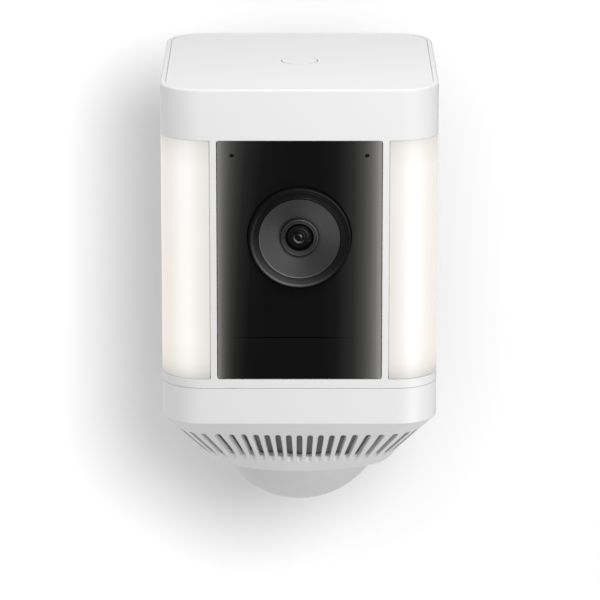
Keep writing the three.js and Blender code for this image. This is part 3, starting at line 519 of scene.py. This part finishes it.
# "back" and "rim_back" are the dish's hidden back at the hub and the rim, and "depth" its rings' height.
DISH = {
    "rim": 13.12, "rim_y": -1.4, "rim_back": 1.2, "hub": 6.25, "hub_y": 0.9, "back": 2.2,
    "rings": 12, "depth": 0.012,
}
BARREL = [
    (7.6, 6.0), (6.15, 5.0), (6.15, 0.5), (6.05, 0.1), (5.9, -0.05), (5.65, 0.0), (5.45, 0.3), (5.2, 0.35),
    (5.05, 0.2), (4.75, 0.25), (4.6, 0.5), (4.55, 3.6), (7.6, 3.6), (7.6, 6.0),
]
GLASS = [
    (0.0, 3.4), (4.5, 3.4), (4.5, 1.9), (4.2, 1.55), (3.4, 1.2), (3.05, 1.15), (2.9, 0.98), (2.7, 0.98),
    (2.5, 1.2), (2.1, 1.15), (1.95, 1.15), (1.8, 1.45), (1.6, 1.5), (1.45, 1.2), (1.2, 1.1), (0.9, 1.1),
    (0.75, 0.95), (0.55, 0.95), (0.4, 1.25), (0.0, 1.3), (0.0, 3.4),
]
TURNS = 128


def turned(name, profile, place, axis):
    """A profile of [radius, height] millimetres turned about an axis through a place, shaded smooth.
    About Y the height runs backwards, and about Z upwards."""
    points = []
    faces = []
    for i in range(TURNS):
        angle = 2 * math.pi * i / TURNS
        for radius, height in profile:
            across = (radius * MM * math.cos(angle), radius * MM * math.sin(angle))
            if axis == "Y":
                points.append((place.x + across[0], place.y + height * MM, place.z + across[1]))
            else:
                points.append((place.x + across[0], place.y + across[1], place.z + height * MM))
    count = len(profile)
    for i in range(TURNS):
        here = i * count
        there = (i + 1) % TURNS * count
        for k in range(count - 1):
            faces.append((here + k, here + k + 1, there + k + 1, there + k))
    mesh = bpy.data.meshes.new(name)
    mesh.from_pydata(points, [], faces)
    solid = bmesh.new()
    solid.from_mesh(mesh)
    bmesh.ops.remove_doubles(solid, verts=solid.verts, dist=0.001 * MM)
    bmesh.ops.recalc_face_normals(solid, faces=solid.faces)
    solid.to_mesh(mesh)
    solid.free()
    made = bpy.data.objects.new(name, mesh)
    bpy.context.scene.collection.objects.link(made)
    smooth(mesh)
    return made


def place_piece(piece, material, replaced):
    piece.data.materials.append(material)
    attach(piece, "camera")
    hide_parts(replaced)


def dish_profile():
    """A cone with fine turned rings, from its back edge over the rim to the hub."""
    rim, hub, steps = DISH["rim"], DISH["hub"], DISH["rings"] * 4
    back = (hub, DISH["back"])
    profile = [back, (rim, DISH["rim_back"]), (rim + 0.05, DISH["rim_y"] + 0.25), (rim, DISH["rim_y"])]
    for i in range(1, steps + 1):
        share = i / steps
        ripple = DISH["depth"] * math.cos(2 * math.pi * DISH["rings"] * share)
        y = DISH["rim_y"] + (DISH["hub_y"] - DISH["rim_y"]) * share + ripple
        profile.append((rim + (hub - rim) * share, y))
    return profile + [back]


def lens_pieces():
    front = Vector((0, CASE_FRONT, LENS_Z))
    bezel = turned("lens_bezel_fine", BEZEL, front, "Y")
    bezel_plastic = ringed("bezel_plastic", (0.006, 0.006, 0.0062), BEZEL_LOW, BEZEL_HIGH, 0.3, 0.04)
    place_piece(bezel, bezel_plastic, "lens_bezel")
    dish = turned("lens_dish_fine", dish_profile(), front, "Y")
    place_piece(dish, SLOT_MATERIALS["lens_trim"], "lens_dish")
    barrel = turned("lens_barrel_fine", BARREL, front, "Y")
    barrel_plastic = ringed("barrel_plastic", (0.024, 0.024, 0.025), BARREL_LOW, BARREL_HIGH, 0.35, 0.3)
    place_piece(barrel, barrel_plastic, "lens_barrel")
    glass = turned("lens_glass_fine", GLASS, front, "Y")
    place_piece(glass, SLOT_MATERIALS["lens_glass"], "lens_glass")


DOME = {"radius": 29.4, "neck": 27.15, "flange": 29.2, "flange_thick": 1.2, "wall": 1.3}
# The inside stops short of the neck's full angle.
DOME_INSIDE_SHARE = 0.97


def motion_dome():
    """The motion sensor's dome: a thin cap of a ball on a neck, with a flange inside the case."""
    low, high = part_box("motion_dome")
    neck = DOME["neck"]
    drop = math.sqrt(DOME["radius"] ** 2 - neck ** 2)
    centre = Vector((0, CASE_MIDDLE_Y, low.z + DOME["radius"] * MM))
    top = (high.z - centre.z) / MM
    outer = []
    steps = 40
    start = math.asin(neck / DOME["radius"])
    for i in range(steps + 1):
        angle = start * (1 - i / steps)
        outer.append((DOME["radius"] * math.sin(angle), -DOME["radius"] * math.cos(angle)))
    inner_radius = DOME["radius"] - DOME["wall"]
    inner = []
    for i in range(steps // 2 + 1):
        angle = start * i / (steps // 2) * DOME_INSIDE_SHARE
        inner.append((inner_radius * math.sin(angle), -inner_radius * math.cos(angle)))
    lip = neck - DOME["wall"]
    under_flange = top - DOME["flange_thick"]
    edge = [
        (lip, -drop), (lip, top), (DOME["flange"], top), (DOME["flange"], under_flange),
        (neck, under_flange), (neck, -drop + 0.05),
    ]
    dome = turned("motion_dome_fine", inner + edge + outer + inner[:1], centre, "Z")
    place_piece(dome, SLOT_MATERIALS["dome"], "motion_dome")


lens_pieces()
motion_dome()

# ------------------------------------------------------------------ studio

SWEEP = {"floor": -1.25, "wall": 1.9, "half_width": 9.0, "front": -9.0, "top": 5.0, "bend": 0.5}

# How bright the surroundings are: everywhere, and how much more along +X, +Y and +Z. They are brighter
# on the left and at the back.
AROUND = 0.56
LEAN = (-0.25, 0.175, -0.01)
SWEEP_GLOW = 0.2


def make_sweep():
    """A pale floor that curves up into a wall well behind the object. It has lights of its own and a
    faint glow, and the object doesn't see it in diffuse or glossy light."""
    bends = 12
    profile = [(SWEEP["front"], SWEEP["floor"])]
    for step in range(bends + 1):
        turn = math.pi / 2 * step / bends
        y = SWEEP["wall"] - SWEEP["bend"] * (1 - math.sin(turn))
        profile.append((y, SWEEP["floor"] + SWEEP["bend"] * (1 - math.cos(turn))))
    profile.append((SWEEP["wall"], SWEEP["top"]))
    points = [(side * SWEEP["half_width"], y, z) for y, z in profile for side in (-1, 1)]
    faces = [(2 * i, 2 * i + 1, 2 * i + 3, 2 * i + 2) for i in range(len(profile) - 1)]
    mesh = bpy.data.meshes.new("floor_sweep")
    mesh.from_pydata(points, [], faces)
    mesh.shade_smooth()
    sweep = bpy.data.objects.new("floor_sweep", mesh)
    bpy.context.scene.collection.objects.link(sweep)
    sweep.visible_diffuse = False
    sweep.visible_glossy = False
    n = Nodes("pale_floor")
    n.set("Base Color", n.mix(n.noise(0.8, 2), (0.29, 0.29, 0.29), (0.3, 0.3, 0.3)))
    n.set("Roughness", 0.95)
    n.set("Specular IOR Level", 0.0)
    n.set("Emission Color", (1.0, 1.0, 1.0))
    n.set("Emission Strength", SWEEP_GLOW)
    mesh.materials.append(n.material)
    return sweep


def aim_light(light, place, aim):
    light.location = place
    light.rotation_euler = (Vector(aim) - Vector(place)).to_track_quat("-Z", "Y").to_euler()
    bpy.context.scene.collection.objects.link(light)


def soft_light(name, place, aim, size, power):
    data = bpy.data.lights.new(name, "AREA")
    data.shape = "DISK"
    data.size = size
    data.energy = power
    aim_light(bpy.data.objects.new(name, data), place, aim)


def shadow_light(name, radius, right, up, power, sweep):
    """A ball of light beside the render's camera. It lights only the sweep, where the object's shadow
    falls."""
    data = bpy.data.lights.new(name, "POINT")
    data.shadow_soft_size = radius
    data.energy = power
    light = bpy.data.objects.new(name, data)
    tilt = camera.rotation_euler.to_matrix()
    light.location = camera.location + tilt @ Vector((right, up, 0))
    bpy.context.scene.collection.objects.link(light)
    lit = bpy.data.collections.new(name + "_lights")
    lit.objects.link(sweep)
    light.light_linking.receiver_collection = lit


def make_world():
    world = bpy.data.worlds.new("studio")
    world.use_nodes = True
    tree = world.node_tree
    direction = tree.nodes.new("ShaderNodeTexCoord").outputs["Generated"]
    dot = tree.nodes.new("ShaderNodeVectorMath")
    dot.operation = "DOT_PRODUCT"
    tree.links.new(direction, dot.inputs[0])
    dot.inputs[1].default_value = LEAN
    level = tree.nodes.new("ShaderNodeMath")
    level.inputs[1].default_value = AROUND
    tree.links.new(dot.outputs["Value"], level.inputs[0])
    surroundings = tree.nodes["Background"]
    surroundings.inputs["Color"].default_value = (1.0, 1.0, 1.0, 1.0)
    tree.links.new(level.outputs[0], surroundings.inputs["Strength"])
    bpy.context.scene.world = world


def make_lights(sweep):
    make_world()
    aim = (0, CASE_MIDDLE_Y, 0)
    soft_light("key", (0.146, -0.5, 0.494), aim, 0.25, 2.4)
    soft_light("low_right", (0.274, -0.33, -0.158), aim, 0.16, 0.42)
    shadow_light("shadow_side", 0.028, 0.033, 0.02, 590.0, sweep)
    shadow_light("shadow_around", 0.066, -0.004, 0.0, 545.0, sweep)


make_lights(make_sweep())
bpy.context.scene.view_settings.view_transform = "Standard"
